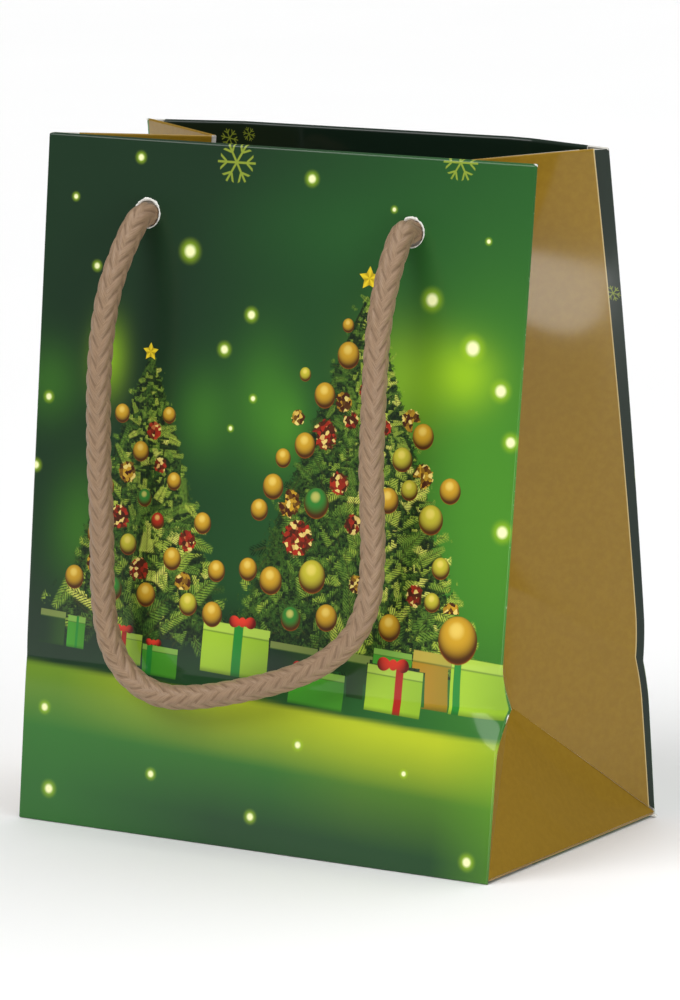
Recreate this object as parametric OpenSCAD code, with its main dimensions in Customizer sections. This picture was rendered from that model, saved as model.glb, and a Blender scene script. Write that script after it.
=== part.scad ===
// Paper gift bag with two rope handles.
// One folded sheet of laminated paper makes the front, the back and two pleated gussets. Its top edge is
// turned in over card strips, and its foot is folded into a glued satchel bottom with a board inside.
// Origin: middle of the bottom, on the surface it stands on. +Z up, +X along the front, -Y to the front.

/* [Bag] */
// Width of the front and back panels
bag_w = 115; // [100:1:160]
// Depth of the bag at its bottom, front to back
bag_d = 69; // [58:1:84]
// Height of the front and back panels, measured up the paper
panel_h = 144; // [136:1:190]
// Angle that the front and back panels lean in from upright
lean = 7.2; // [4:0.1:9]
// Angle that the foot of each gusset leans in from upright
foot_tilt = 27; // [15:1:32]
// Thickness of the laminated paper
paper_t = 0.3; // [0.2:0.05:0.5]
// Room left along the creases that fold
crease_gap = 1; // [0.8:0.1:1.5]
// Height of the turned-under folds above the surface the bag stands on
fold_lift = 0.4; // [0.3:0.05:0.6]

/* [Hem] */
// Height of the turned-in hem
hem_h = 30; // [24:1:40]
// Height of the card strip inside the hem
card_h = 26; // [20:1:36]
// Thickness of the card strip
card_t = 0.8; // [0.4:0.1:1.2]
// Distance of the hem and card strip from the bag's corners
hem_inset = 5; // [4.5:0.5:8]

/* [Rope] */
// Thickness of the braided rope
rope_d = 5.2; // [4:0.1:5.4]
// Diameter of the punched holes
hole_d = 5.8; // [5.6:0.1:7]
// Distance between the two holes of a pair
hole_spacing = 62.5; // [56:0.5:70]
// Distance of the holes below the top edge, measured down the paper
hole_drop = 15.5; // [13:0.5:17]
// Sideways distance of each punched pair from the panel's middle
punch_offset = -1; // [-2:0.25:2]
// Diameter of the knots inside the bag
knot_d = 11; // [9:0.5:13]
// Length of the rope's loose end below each knot
tail_l = 7; // [4:0.5:12]

/* [Bottom] */
// Length of the side flaps, in from each gusset
side_flap_l = 30; // [20:1:36]
// Overlap of the front and back flaps past the middle
flap_overlap = 14; // [8:1:20]
// Width of the glued lap at the right back corner
lap_w = 12; // [8:0.5:16]
// Distance of the gusset's raw edge from the corner, which leaves a strip of the lap showing
lap_show = 2.8; // [1.5:0.1:4]
// Thickness of the bottom board
board_t = 1.2; // [0.8:0.1:2]
// Room round the bottom board
board_gap = 3; // [2.5:0.5:5]

/* [Hidden] */

print_green = [0.13, 0.36, 0.16];
gusset_gold = [0.59, 0.47, 0.16];
board_grey = [0.62, 0.60, 0.56];
rope_beige = [0.70, 0.61, 0.53];

round_fn = 48;   // facets of a knot
rope_fn = 10;    // sides of the rope's plain tube
flap_gap = 0.8;  // room between a bottom flap and the fold of the panel it belongs to
ply_gap = 0.15;  // room between the curved plies of a gusset
foot_gap = 0.05; // room between a gusset's foot and the flap under it
patch_u = 6;     // strips across a gusset half
patch_v = 12;    // strips up a gusset half

half_w = bag_w / 2;
half_d = bag_d / 2;                            // also the width of a gusset half, and the height of its foot
hole_h = panel_h - hole_drop;                  // height of the holes up the paper
card_inner = paper_t + card_t;                 // depth of the card strip's inner face behind the print
hem_inner = card_inner + paper_t;              // depth of the hem's inner face behind the print
top_y = half_d - panel_h * sin(lean);          // half of the bag's depth at its top edge
top_z = panel_h * cos(lean);                   // height of the bag's top edge
rope_passage = hem_inner + knot_d / 2 - 1;     // depth of a knot's middle behind the print
stack = [paper_t, 2 * paper_t, 3 * paper_t];   // heights of the bottom's layers

// Corners of the right back half of a gusset: its foot and top at the panel, and along the middle pleat
edge_foot = [half_w, half_d - crease_gap, stack[2] + paper_t * sin(foot_tilt) + foot_gap];
edge_top = [half_w, top_y - crease_gap, top_z];
pleat_foot = [half_w - half_d * sin(foot_tilt), 0, half_d * cos(foot_tilt)];
pleat_push = sqrt(half_d * half_d - top_y * top_y);
pleat_run = half_w - pleat_push - pleat_foot[0];
pleat_rise = sqrt(pow(panel_h - half_d, 2) - pow(pleat_run, 2));
pleat_top = [half_w - pleat_push, 0, pleat_foot[2] + pleat_rise];

// The front rope, from the left hole round its loop to the right hole
rope_route = [
    [-32.25, -18.5, 127.5], [-32.25, -20.6, 127.7], [-32.3, -23.4, 126.6], [-32.4, -26, 124],
    [-32.7, -28.6, 120.4], [-33, -31.2, 116], [-33.3, -33.2, 111], [-33.6, -34.8, 104],
    [-33.8, -35.8, 96], [-33.9, -36.1, 87], [-33.9, -36.2, 78], [-33.5, -36.3, 69],
    [-33.4, -36.4, 60], [-33.3, -36.5, 51], [-32.2, -36.6, 43], [-29.4, -36.6, 36.8],
    [-24.6, -36.5, 32.6], [-18, -36.3, 30.7], [-9, -36, 31.6], [1, -35.6, 34],
    [11, -35.2, 37.2], [19.6, -34.8, 41.4], [26.4, -34.4, 47.4], [30, -34.2, 55],
    [31, -34, 64], [30.9, -33.9, 73], [30.7, -33.8, 82], [30.9, -33.4, 91],
    [31.1, -32.8, 100], [31.1, -31.6, 108], [31, -29.6, 114.4], [30.8, -27, 119.6],
    [30.6, -24.2, 123.8], [30.3, -21.4, 126.8], [30.25, -20.2, 127.6], [30.25, -18.5, 127.5]
];
bend_rings = 6;  // rings of the route that bend at each hole; the rest is the loop that swings

// ---- places ----

// Stands a shape that is drawn flat, with its thickness along +Y, on the front fold, leaning in
module on_front() {
    translate([0, -half_d, 0]) rotate([-lean, 0, 0]) children();
}

module at_holes_of_front(side) {
    on_front() translate([punch_offset + side * hole_spacing / 2, 0, hole_h]) children();
}

// The back is the front turned about the mirror plane of the gussets
module as_back() {
    mirror([0, 1, 0]) children();
}

module as_left() {
    mirror([1, 0, 0]) children();
}

// ---- pieces of the front and back ----

module hole_pair() {
    for (side = [-1, 1])
        translate([punch_offset + side * hole_spacing / 2, -1, hole_h])
            rotate([-90, 0, 0]) cylinder(d = hole_d, h = hem_inner + 2, $fn = round_fn);
}

module panel() {
    color(print_green) on_front() difference() {
        translate([-half_w, 0, fold_lift]) cube([bag_w, paper_t, panel_h - fold_lift]);
        hole_pair();
    }
}

module card_strip() {
    card_w = bag_w - 2 * hem_inset;
    color(board_grey) on_front() difference() {
        translate([-card_w / 2, paper_t, panel_h - card_h - 1]) cube([card_w, card_t, card_h]);
        hole_pair();
    }
}

// The turned-in hem: a flat inner ply, and the fold that joins it to the panel over the card strip
module hem() {
    hem_w = bag_w - 2 * hem_inset;
    color(print_green) on_front() difference() {
        union() {
            translate([-hem_w / 2, card_inner, panel_h - hem_h]) cube([hem_w, paper_t, hem_h]);
            translate([-hem_w / 2, paper_t, panel_h - paper_t]) cube([hem_w, card_t + paper_t, paper_t]);
        }
        hole_pair();
    }
}

// A knot behind the hem, with the short run of rope through the hole and the loose end below
module knot(side) {
    color(rope_beige) at_holes_of_front(side) {
        rotate([-90, 0, 0]) cylinder(d = rope_d, h = rope_passage, $fn = round_fn);
        difference() {
            translate([0, rope_passage, 0]) sphere(d = knot_d, $fn = round_fn);
            translate([-knot_d, 0, -knot_d]) cube([2 * knot_d, hem_inner, 2 * knot_d]);
        }
        translate([0, rope_passage, -knot_d / 2 - tail_l])
            cylinder(d = rope_d - 0.6, h = knot_d / 2 + tail_l, $fn = round_fn);
    }
}

// ---- rope ----

function unit(v) = v / norm(v);
function along(p, i) = unit(p[min(i + 1, len(p) - 1)] - p[max(i - 1, 0)]);

// Sideways directions of a tube's rings, each turned as little as possible from the one before
function sideways(p, i = 0, last = [1, 0, 0]) =
    let (t = along(p, i), s = unit(last - (last * t) * t))
    i == len(p) - 1 ? [s] : concat([s], sideways(p, i + 1, s));

// A tube along the route from its ring first to its ring last, so that two stretches meet in one ring
module tube(p, first, last, d) {
    across = sideways(p);
    rings = last - first + 1;
    points = [
        for (i = [first : last])
            let (s = across[i], b = cross(along(p, i), s))
            for (k = [0 : rope_fn - 1])
                p[i] + d / 2 * (cos(k * 360 / rope_fn) * s + sin(k * 360 / rope_fn) * b)
    ];
    walls = [
        for (i = [0 : rings - 2], k = [0 : rope_fn - 1])
            let (n = (k + 1) % rope_fn, a = i * rope_fn, b = a + rope_fn)
            each [[a + k, b + k, b + n], [a + k, b + n, a + n]]
    ];
    ends = [
        [for (k = [0 : rope_fn - 1]) k],
        [for (k = [rope_fn - 1 : -1 : 0]) (rings - 1) * rope_fn + k]
    ];
    polyhedron(points = points, faces = concat(walls, ends));
}

module rope_loop() {
    color(rope_beige) tube(rope_route, bend_rings, len(rope_route) - 1 - bend_rings, rope_d);
}

module rope_bend(side) {
    last = len(rope_route) - 1;
    color(rope_beige)
        tube(rope_route, side < 0 ? 0 : last - bend_rings, side < 0 ? bend_rings : last, rope_d);
}

// ---- gussets ----

function between(a, b, s) = a + s * (b - a);

// A point of the right back gusset half: u from the panel to the pleat, v from the foot crease to the top
function gusset_point(u, v) =
    between(between(edge_foot, pleat_foot, u), between(edge_top, pleat_top, u), v);

function gusset_inward(u, v) =
    let (
        step = 0.01,
        du = gusset_point(u + step, v) - gusset_point(u - step, v),
        dv = gusset_point(u, v + step) - gusset_point(u, v - step)
    )
    unit(cross(du, dv));

// A curved ply of the right back half, from depth_0 to depth_1 behind the gusset's outer face
module gusset_ply(u_0, u_1, v_0, v_1, depth_0, depth_1) {
    row = patch_v + 1;
    layer = (patch_u + 1) * row;
    points = [
        for (depth = [depth_0, depth_1], i = [0 : patch_u], j = [0 : patch_v])
            let (u = between(u_0, u_1, i / patch_u), v = between(v_0, v_1, j / patch_v))
            gusset_point(u, v) + depth * gusset_inward(u, v)
    ];
    faces = [
        for (i = [0 : patch_u - 1], j = [0 : patch_v - 1])
            let (a = i * row + j, b = a + row)
            each [
                [a, b, b + 1], [a, b + 1, a + 1],
                [layer + a, layer + b + 1, layer + b], [layer + a, layer + a + 1, layer + b + 1]
            ]
    ];
    rim = concat(
        [for (j = [0 : patch_v]) j],
        [for (i = [1 : patch_u]) i * row + patch_v],
        [for (j = [patch_v - 1 : -1 : 0]) patch_u * row + j],
        [for (i = [patch_u - 1 : -1 : 1]) i * row]
    );
    edge = [
        for (k = [0 : len(rim) - 1])
            let (a = rim[k], b = rim[(k + 1) % len(rim)])
            each [[a, b, layer + b], [a, layer + b, layer + a]]
    ];
    polyhedron(points = points, faces = concat(faces, edge));
}

module gusset_half() {
    color(gusset_gold) gusset_ply(0, 1, 0, 1, 0, paper_t);
}

// The right back half stops short of the corner, where the lap shows beside its raw edge
module gusset_lapped_half() {
    color(gusset_gold) gusset_ply(lap_show / half_d, 1, 0, 1, 0, paper_t);
}

// The back panel's lap, from where it clears the panel's own thickness
module lap() {
    depth = paper_t + ply_gap;
    lap_from = 2 * paper_t / half_d;
    color(print_green) gusset_ply(lap_from, lap_w / half_d, 0.01, 0.99, depth, depth + paper_t);
}

module gusset_hem() {
    hem_share = hem_h / (panel_h - half_d);
    hem_from = 2 * hem_inset / half_d;
    depth = 2 * (paper_t + ply_gap);
    color(gusset_gold) gusset_ply(hem_from, 1, 1 - hem_share, 1, depth, depth + paper_t);
}

// The flat triangle between the bottom and the two slanting creases
module gusset_foot() {
    base = edge_foot[1];
    tip = norm([pleat_foot[0] - half_w, pleat_foot[2] - edge_foot[2]]);
    tilt = atan2(half_w - pleat_foot[0], pleat_foot[2] - edge_foot[2]);
    color(gusset_gold)
        translate([half_w, 0, edge_foot[2]]) rotate([0, -tilt, 0]) rotate([90, 0, -90])
            linear_extrude(height = paper_t) polygon([[-base, 0], [base, 0], [0, tip]]);
}

// ---- bottom ----

module back_flap() {
    color(print_green) translate([-half_w + flap_gap, -flap_overlap - flap_gap, 0])
        cube([bag_w - 2 * flap_gap, half_d + flap_overlap, stack[0]]);
}

module front_flap() {
    color(print_green) translate([-half_w + flap_gap, -half_d + flap_gap, stack[0]])
        cube([bag_w - 2 * flap_gap, half_d + flap_overlap, stack[0]]);
}

module side_flap() {
    flap_d = bag_d - 2 * crease_gap;
    color(gusset_gold) translate([half_w - side_flap_l, -flap_d / 2, stack[1]])
        cube([side_flap_l, flap_d, stack[0]]);
}

module board() {
    size = [bag_w - 2 * board_gap, bag_d - 2 * board_gap, board_t];
    color(board_grey) translate([-size[0] / 2, -size[1] / 2, stack[2]]) cube(size);
}

panel();  // front_panel
hem();  // front_hem
card_strip();  // front_card_strip
knot(-1);  // front_left_knot
knot(1);  // front_right_knot
rope_bend(-1);  // front_left_rope_bend
rope_bend(1);  // front_right_rope_bend
rope_loop();  // front_handle_rope
as_back() panel();  // back_panel
as_back() hem();  // back_hem
as_back() card_strip();  // back_card_strip
as_back() knot(-1);  // back_left_knot
as_back() knot(1);  // back_right_knot
as_back() rope_bend(-1);  // back_left_rope_bend
as_back() rope_bend(1);  // back_right_rope_bend
as_back() rope_loop();  // back_handle_rope
as_back() gusset_half();  // right_gusset_front
gusset_lapped_half();  // right_gusset_back
gusset_foot();  // right_gusset_foot
as_back() gusset_hem();  // right_gusset_front_hem
gusset_hem();  // right_gusset_back_hem
as_left() as_back() gusset_half();  // left_gusset_front
as_left() gusset_half();  // left_gusset_back
as_left() gusset_foot();  // left_gusset_foot
as_left() as_back() gusset_hem();  // left_gusset_front_hem
as_left() gusset_hem();  // left_gusset_back_hem
lap();  // glue_lap
back_flap();  // bottom_back_flap
front_flap();  // bottom_front_flap
as_left() side_flap();  // bottom_left_flap
side_flap();  // bottom_right_flap
board();  // bottom_board
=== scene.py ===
"""A small glossy paper gift bag with two braided rope handles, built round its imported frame."""
import math

import bpy
import numpy as np
from mathutils import Matrix, Vector


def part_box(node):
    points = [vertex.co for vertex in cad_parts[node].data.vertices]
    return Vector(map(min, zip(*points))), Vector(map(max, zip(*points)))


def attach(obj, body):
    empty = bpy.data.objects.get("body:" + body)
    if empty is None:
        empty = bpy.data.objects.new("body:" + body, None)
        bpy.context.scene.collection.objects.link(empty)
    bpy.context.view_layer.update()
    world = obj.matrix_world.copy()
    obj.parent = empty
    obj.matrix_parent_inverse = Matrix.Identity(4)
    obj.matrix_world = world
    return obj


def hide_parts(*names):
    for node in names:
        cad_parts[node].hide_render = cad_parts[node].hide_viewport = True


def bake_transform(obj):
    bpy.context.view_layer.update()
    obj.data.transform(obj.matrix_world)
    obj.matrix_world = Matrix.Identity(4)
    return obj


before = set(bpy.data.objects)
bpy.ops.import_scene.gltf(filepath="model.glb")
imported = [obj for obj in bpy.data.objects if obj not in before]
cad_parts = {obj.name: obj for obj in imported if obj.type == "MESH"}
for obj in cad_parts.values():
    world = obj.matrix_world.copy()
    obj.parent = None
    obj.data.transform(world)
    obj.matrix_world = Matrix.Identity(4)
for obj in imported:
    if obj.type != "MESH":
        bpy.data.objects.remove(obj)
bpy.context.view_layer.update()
bpy.ops.object.select_all(action="DESELECT")
mm = 0.001

# ---- Camera ----
# A long lens stands a little over a metre away, to the right of the bag's front and slightly above it.
camera_turn = math.radians(32.6)
camera_rise = math.radians(10.1)
camera_roll = math.radians(-0.54)
camera_away = 1.1167
camera_shift = 1.38 * mm
camera_height = 69 * mm
backward = Vector((
    math.sin(camera_turn) * math.cos(camera_rise),
    -math.cos(camera_turn) * math.cos(camera_rise),
    math.sin(camera_rise),
))
level = (-backward).cross(Vector((0, 0, 1))).normalized()
upright = level.cross(-backward)
rightward = math.cos(camera_roll) * level + math.sin(camera_roll) * upright
upward = math.cos(camera_roll) * upright - math.sin(camera_roll) * level
bpy.ops.object.camera_add()
camera = bpy.context.object
camera.name = "camera"
camera.data.lens = 193.3
camera.data.sensor_width = 36
camera.data.clip_start = 0.05
place = camera_away * backward + camera_shift * (rightward - upward) + Vector((0, 0, camera_height))
turned = Matrix((rightward, upward, backward)).transposed().to_4x4()
camera.matrix_world = Matrix.Translation(place) @ turned
bpy.context.scene.camera = camera


# ---- Rope handles ----
# A braid of soft beige cord, about 5 mm thick, runs from a knot inside the bag, out through the left hole,
# hangs in one loop and goes back in through the right hole. The rear handle is the same.
rope_d = 5.2 * mm
rope_route = [
    (-32.25, -18.5, 127.5), (-32.25, -20.6, 127.7), (-32.3, -23.4, 126.6), (-32.4, -26, 124),
    (-32.7, -28.6, 120.4), (-33, -31.2, 116), (-33.3, -33.2, 111), (-33.6, -34.8, 104),
    (-33.8, -35.8, 96), (-33.9, -36.1, 87), (-33.9, -36.2, 78), (-33.5, -36.3, 69),
    (-33.4, -36.4, 60), (-33.3, -36.5, 51), (-32.2, -36.6, 43), (-29.4, -36.6, 36.8),
    (-24.6, -36.5, 32.6), (-18, -36.3, 30.7), (-9, -36, 31.6), (1, -35.6, 34),
    (11, -35.2, 37.2), (19.6, -34.8, 41.4), (26.4, -34.4, 47.4), (30, -34.2, 55),
    (31, -34, 64), (30.9, -33.9, 73), (30.7, -33.8, 82), (30.9, -33.4, 91),
    (31.1, -32.8, 100), (31.1, -31.6, 108), (31, -29.6, 114.4), (30.8, -27, 119.6),
    (30.6, -24.2, 123.8), (30.3, -21.4, 126.8), (30.25, -20.2, 127.6), (30.25, -18.5, 127.5),
]
rope_inside = 5 * mm
rope_pivot = Vector((0, -26.5 * mm, 122.5 * mm))
bend_reach = 10 * mm
plait_columns = 6
plait_pitch = 3.9 * mm
plait_slant = 0.46
braid_step = 0.34 * mm
braid_sides = 54
braid_relief = 0.17


def ink(red, green, blue):
    """A colour given as a printer's red, green and blue from 0 to 255, as the renderer's light values."""
    share = np.array([red, green, blue]) / 255
    linear = np.where(share <= 0.04045, share / 12.92, ((share + 0.055) / 1.055) ** 2.4)
    return (*linear.tolist(), 1.0)


class Value:
    """A number that varies over a surface. Arithmetic on it adds Math nodes to its finish."""

    def __init__(self, finish, socket):
        self.finish = finish
        self.socket = socket

    def math(self, operation, *others):
        terms = dict(enumerate((self, *others)))
        return self.finish.node("ShaderNodeMath", {"operation": operation}, terms)

    def __add__(self, other):
        return self.math("ADD", other)

    def __sub__(self, other):
        return self.math("SUBTRACT", other)

    def __rsub__(self, other):
        return self * -1 + other

    def __mul__(self, other):
        return self.math("MULTIPLY", other)

    def __gt__(self, other):
        return self.math("GREATER_THAN", other)

    def __lt__(self, other):
        return self.math("LESS_THAN", other)

    __radd__ = __add__
    __rmul__ = __mul__

    def rise(self, low, high):
        """0 below low, 1 above high and a soft step between them, either way round."""
        settings = {"interpolation_type": "SMOOTHSTEP"}
        return self.finish.node("ShaderNodeMapRange", settings, {0: self, 1: low, 2: high})


class Finish:
    """A material as it is put together."""

    def __init__(self, name):
        self.material = bpy.data.materials.new(name)
        self.material.use_nodes = True
        self.tree = self.material.node_tree
        self.tree.nodes.clear()

    def node(self, kind, settings=(), sockets=(), out=0):
        made = self.tree.nodes.new(kind)
        for name, setting in dict(settings).items():
            if name == "stops":
                stops = made.color_ramp.elements
                while len(stops) < len(setting):
                    stops.new(1)
                for stop, (at, colour) in zip(stops, setting):
                    stop.position = at
                    stop.color = colour
            else:
                setattr(made, name, setting)
        for key, value in dict(sockets).items():
            if isinstance(value, Value):
                self.tree.links.new(value.socket, made.inputs[key])
            else:
                made.inputs[key].default_value = value
        return Value(self, made.outputs[out])

    def mix(self, share, first, second, blend="MIX"):
        settings = {"data_type": "RGBA", "blend_type": blend}
        return self.node("ShaderNodeMix", settings, {0: share, 6: first, 7: second}, 2)

    def parts(self, vector):
        made = self.node("ShaderNodeSeparateXYZ", {}, {0: vector}).socket.node
        return [Value(self, socket) for socket in made.outputs]

    def attribute(self, name, out="Vector"):
        return self.node("ShaderNodeAttribute", {"attribute_name": name}, {}, out)

    def point(self, x, y, z=0.0):
        return self.node("ShaderNodeCombineXYZ", {}, {0: x, 1: y, 2: z})

    def place(self):
        return self.node("ShaderNodeTexCoord", {}, {}, "Object")

    def noise(self, at, scale, detail=2.0, roughness=0.5):
        sockets = {"Vector": at, "Scale": scale, "Detail": detail, "Roughness": roughness}
        return self.node("ShaderNodeTexNoise", {}, sockets)

    def bump(self, height, strength, distance):
        return self.node("ShaderNodeBump", {}, {"Height": height, "Strength": strength, "Distance": distance})

    def surface(self, **sockets):
        named = {key.replace("_", " ").title(): value for key, value in sockets.items()}
        if "Specular Ior Level" in named:
            named["Specular IOR Level"] = named.pop("Specular Ior Level")
        shader = self.node("ShaderNodeBsdfPrincipled", {}, named)
        self.node_output(shader)
        return self.material

    def node_output(self, shader):
        made = self.tree.nodes.new("ShaderNodeOutputMaterial")
        self.tree.links.new(shader.socket, made.inputs[0])


def smooth_line(points, step):
    """A smooth line through the points, with a point at every step."""
    given = np.array(points, float)
    given = np.vstack([2 * given[0] - given[1], given, 2 * given[-1] - given[-2]])
    share = np.linspace(0, 1, 24, endpoint=False)[:, None]
    runs = []
    for a, b, c, d in zip(given, given[1:], given[2:], given[3:]):
        cubic = (3 * b - a - 3 * c + d) * share**3
        square = (2 * a - 5 * b + 4 * c - d) * share**2
        runs.append((2 * b + (c - a) * share + square + cubic) / 2)
    line = np.vstack([*runs, given[-2:-1]])
    gone = np.concatenate([[0], np.cumsum(np.linalg.norm(np.diff(line, axis=0), axis=1))])
    stops = np.linspace(0, gone[-1], int(gone[-1] / step) + 1)
    return np.stack([np.interp(stops, gone, line[:, k]) for k in range(3)], axis=1)


def plait_column(along, turn, column):
    """Where a point of the rope's surface lies in one column of slanting stitches: across it and up it."""
    middle = column * math.tau / plait_columns
    off = (turn - middle + math.pi) % math.tau - math.pi
    across = off / (math.pi / plait_columns)
    slant = plait_slant if column % 2 else -plait_slant
    up = along / plait_pitch + 0.5 * (column % 2) + slant * across
    return across, up


def plait(along, turn):
    """The height of the braid's surface from 0 to 1, and the column whose stitch lies on top."""
    heights = []
    for column in range(plait_columns):
        across, up = plait_column(along, turn, column)
        middle = np.abs(2 * (up - np.floor(up)) - 1)
        rounded = (1 - middle**2.4) * (1 - 0.42 * across**2)
        heights.append(np.where(np.abs(across) < 1.5, rounded, -1))
    heights = np.stack(heights)
    return np.clip(heights.max(0), 0, 1), heights.argmax(0)


def braid(name, line, side, thick):
    """A closed tube of braid along a line. Each stitch carries its own coordinates for its fibres."""
    rings = len(line)
    forward = np.gradient(line, axis=0)
    forward /= np.linalg.norm(forward, axis=1)[:, None]
    sides = []
    side = np.array(side, float)
    for direction in forward:
        side = side - (side @ direction) * direction
        side /= np.linalg.norm(side)
        sides.append(side)
    sides = np.array(sides)
    ups = np.cross(forward, sides)
    steps = np.linalg.norm(np.diff(line, axis=0), axis=1)
    along = np.concatenate([[0], np.cumsum(steps)])
    turn = np.arange(braid_sides) * math.tau / braid_sides
    height, _ = plait(along[:, None], turn[None, :])
    radius = thick / 2 * (1 - braid_relief + braid_relief * height)
    round_x = np.cos(turn)[None, :, None] * sides[:, None, :]
    round_y = np.sin(turn)[None, :, None] * ups[:, None, :]
    skin = line[:, None, :] + radius[..., None] * (round_x + round_y)
    ring, spot = np.meshgrid(np.arange(rings - 1), np.arange(braid_sides), indexing="ij")
    after = (spot + 1) % braid_sides
    quads = np.stack([
        ring * braid_sides + spot,
        ring * braid_sides + after,
        (ring + 1) * braid_sides + after,
        (ring + 1) * braid_sides + spot,
    ], axis=-1).reshape(-1, 4)
    caps = [list(range(braid_sides))[::-1], [(rings - 1) * braid_sides + k for k in range(braid_sides)]]
    mesh = bpy.data.meshes.new(name)
    mesh.from_pydata(skin.reshape(-1, 3).tolist(), [], quads.tolist() + caps)
    piece = bpy.data.objects.new(name, mesh)
    bpy.context.scene.collection.objects.link(piece)
    middle_along = (along[ring] + along[ring + 1]).ravel() / 2
    middle_turn = (spot.ravel() + 0.5) * math.tau / braid_sides
    _, top = plait(middle_along, middle_turn)
    fibre = np.zeros((len(quads), 4, 3))
    for column in range(plait_columns):
        mine = top == column
        _, middle_up = plait_column(middle_along[mine], middle_turn[mine], column)
        stitch = np.floor(middle_up)
        for corner, (on, over) in enumerate([(0, 0), (0, 1), (1, 1), (1, 0)]):
            across, up = plait_column(along[ring + on].ravel()[mine],
                                      (spot.ravel()[mine] + over) * math.tau / braid_sides, column)
            fibre[mine, corner] = np.stack([up - stitch - 0.5, across, stitch * 1.7 + column * 0.31], axis=1)
    caps_fibre = np.zeros((2 * braid_sides, 3))
    yarn = mesh.attributes.new("yarn", "FLOAT_VECTOR", "CORNER")
    yarn.data.foreach_set("vector", np.vstack([fibre.reshape(-1, 3), caps_fibre]).astype(np.float32).ravel())
    mesh.shade_smooth()
    return piece


def braid_finish():
    finish = Finish("braided_beige_cord")
    across, run, stitch = finish.parts(finish.attribute("yarn"))
    threads = finish.noise(finish.point(across * 16, run * 0.9, stitch * 5.3), 1.0, 3.0, 0.65)
    patches = finish.noise(finish.place(), 160.0)
    # Where stitches meet, the colour darkens: painted shade in the grooves between them. The grooves are also
    # rougher.
    crease = across.math("ABSOLUTE").rise(0.3, 0.53)
    colour = finish.mix(threads.rise(0.3, 0.7), ink(129, 102, 76), ink(159, 132, 103))
    colour = finish.mix(patches.rise(0.35, 0.75) * 0.35, colour, ink(148, 119, 93))
    colour = finish.mix(crease * 0.45, colour, ink(90, 66, 45))
    lines = finish.bump(threads, 0.35, 0.12 * mm)
    return finish.surface(base_color=colour, roughness=0.5 + crease * 0.25, sheen_weight=0.12,
                          sheen_roughness=0.4, normal=lines)


cord_finish = braid_finish()
for face, side_name in ((1, "front"), (-1, "back")):
    outside = [(x * mm, y * mm * face, z * mm) for x, y, z in rope_route]
    inward = np.array([0, face * rope_inside, 0])
    ends = [outside[0] + inward], [outside[-1] + inward]
    rope_line = smooth_line([*ends[0], *outside, *ends[1]], braid_step)
    handle = braid(f"{side_name}_rope", rope_line, (0.85, 0, 0.5), rope_d)
    handle.data.materials.append(cord_finish)
    pivot = rope_pivot.copy()
    pivot.y *= face
    fall = Vector((0, -face, -1)).normalized() * bend_reach
    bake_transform(handle)
    bends = [f"{side_name}_{hand}_rope_bend" for hand in ("left", "right")]
    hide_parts(f"{side_name}_handle_rope", *bends)


# ---- Front and back panels ----
# One sheet of art paper, printed on its face with a winter scene and laminated with clear gloss film. It is
# scored and folded at its sides and foot, and its top edge is turned in. Two holes are punched near the top.
half_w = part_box("front_panel")[1].x
half_d = 34.5 * mm
panel_h = 144 * mm
lean = math.radians(7.2)
paper_t = 0.3 * mm
fold_r = 0.5 * mm
top_r = 0.7 * mm
score_h = 34.5 * mm
hole_r = 2.9 * mm
hole_h = 128.5 * mm
hole_places = (-32.25 * mm, 30.25 * mm)
panel_columns = 184
panel_rows = 230
twist = {"front": 2.35 * mm, "back": -1.3 * mm}
dent = {"front": 4.4 * mm, "back": 1.2 * mm}
bow = {"front": 0.0, "back": 3 * mm}
bow_peak = 38 * mm
skew = {"front": 0.55 * mm, "back": 0.0}
crown = {"front": 0.0, "back": 0.7 * mm}
swell = {"front": 0.0, "back": 1.5 * mm}
side_of = {"front": -1, "back": 1}


def stand(across, depth, up, face):
    """Where a point of the flat sheet comes to: across the panel, behind its print, and up the paper."""
    across, depth, up = np.broadcast_arrays(across, depth, up)
    share = up / panel_h
    near_corner = np.exp(-(half_w - np.clip(across, -half_w, half_w)) / (6 * mm))
    near_score = np.clip(1 - np.abs(up - score_h) / (9 * mm), 0, 1) ** 1.5
    pushed_in = dent[face] * near_corner * near_score
    soft_score = 0.25 * mm * np.exp(-np.abs(up - score_h) / (3 * mm))
    lift = np.where(across < bow_peak, (across + half_w) / (bow_peak + half_w),
                    (half_w - across) / (half_w - bow_peak))
    bowed = bow[face] * np.clip(lift, 0, 1) ** 1.15 * share**6
    out = half_d - up * math.sin(lean) - depth * math.cos(lean) - pushed_in - soft_score + bowed
    out = out + swell[face] * np.sin(math.pi * np.clip(share, 0, 1)) * np.clip(across / half_w, 0, 1)
    y = side_of[face] * out + twist[face] * across / half_w * share
    z = up * math.cos(lean) - depth * math.sin(lean)
    z = z - skew[face] * across / half_w * share
    z = z + crown[face] * share * np.clip((half_w - np.abs(across)) / (25 * mm), 0, 1)
    return np.stack([across, y, z], axis=-1)


def packed(share, count, length, first, last):
    """Spreads a grid's lines over a length, with five of them in each rounded edge."""
    edge = 5 / count
    return np.interp(share, (0, edge, 1 - edge, 1), (0, first, length - last, length))


def rolled(distance, radius):
    """How far a sheet has turned behind its own face, that far from a rounded fold."""
    inside = np.clip(radius - distance, 0, radius)
    return radius - np.sqrt(np.maximum(radius**2 - inside**2, 0))


def points_of(piece):
    """The places of a piece's points, as one array."""
    flat = np.zeros(len(piece.data.vertices) * 3)
    piece.data.vertices.foreach_get("co", flat)
    return flat.reshape(-1, 3)


def put_points(piece, points):
    piece.data.vertices.foreach_set("co", np.asarray(points, np.float32).ravel())
    piece.data.update()


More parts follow.
